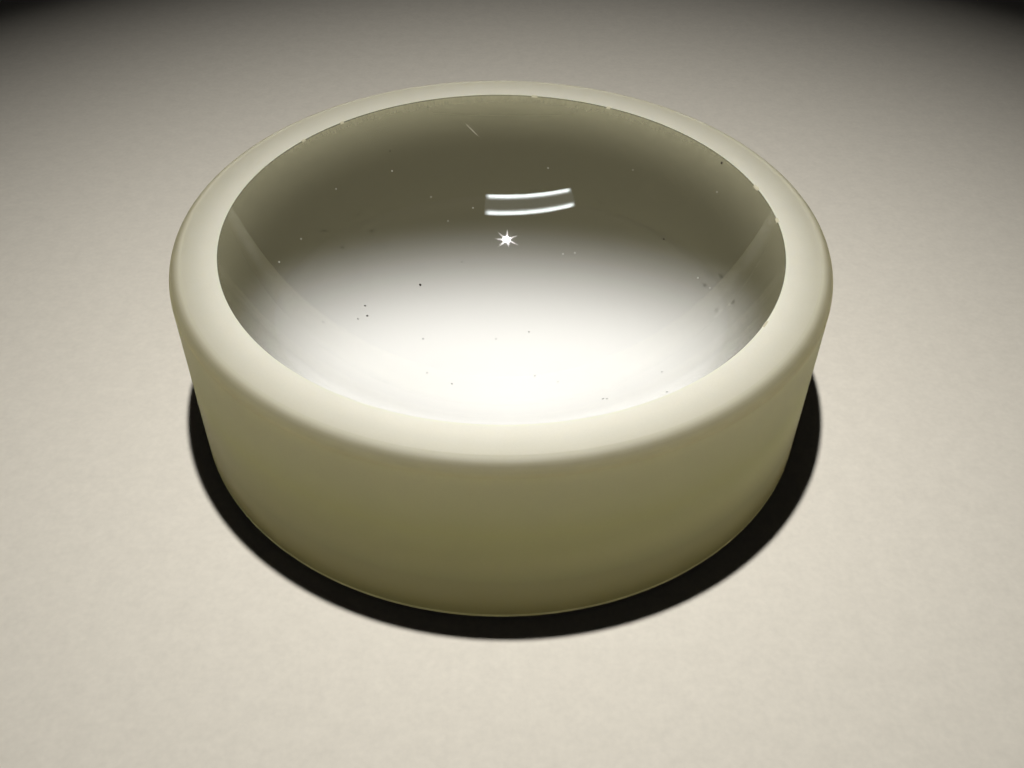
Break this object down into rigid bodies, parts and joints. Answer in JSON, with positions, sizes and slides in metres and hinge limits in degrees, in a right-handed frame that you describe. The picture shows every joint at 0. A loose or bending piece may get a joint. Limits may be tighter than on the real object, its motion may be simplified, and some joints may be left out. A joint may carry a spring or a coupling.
{
  "type": "fiber optic faceplate",
  "caption": "Round fused fibre glass faceplate with a flat base, a straight ground wall, a flat rim and a deep polished spherical dish sunk in its top.",
  "frame": {"origin": "centre of the flat base, on the axis of the disc", "axes": "+Z along the disc's axis and the fibres, from the base towards the dish; X and Y lie in the base"},
  "size_m": [0.05, 0.05, 0.0154],
  "materials": {
    "fused_glass": "polished dish and base, fine ground wall and rim"
  },
  "bodies": {
    "root": {"faceplate": "fused_glass"}
  },
  "joints": []
}
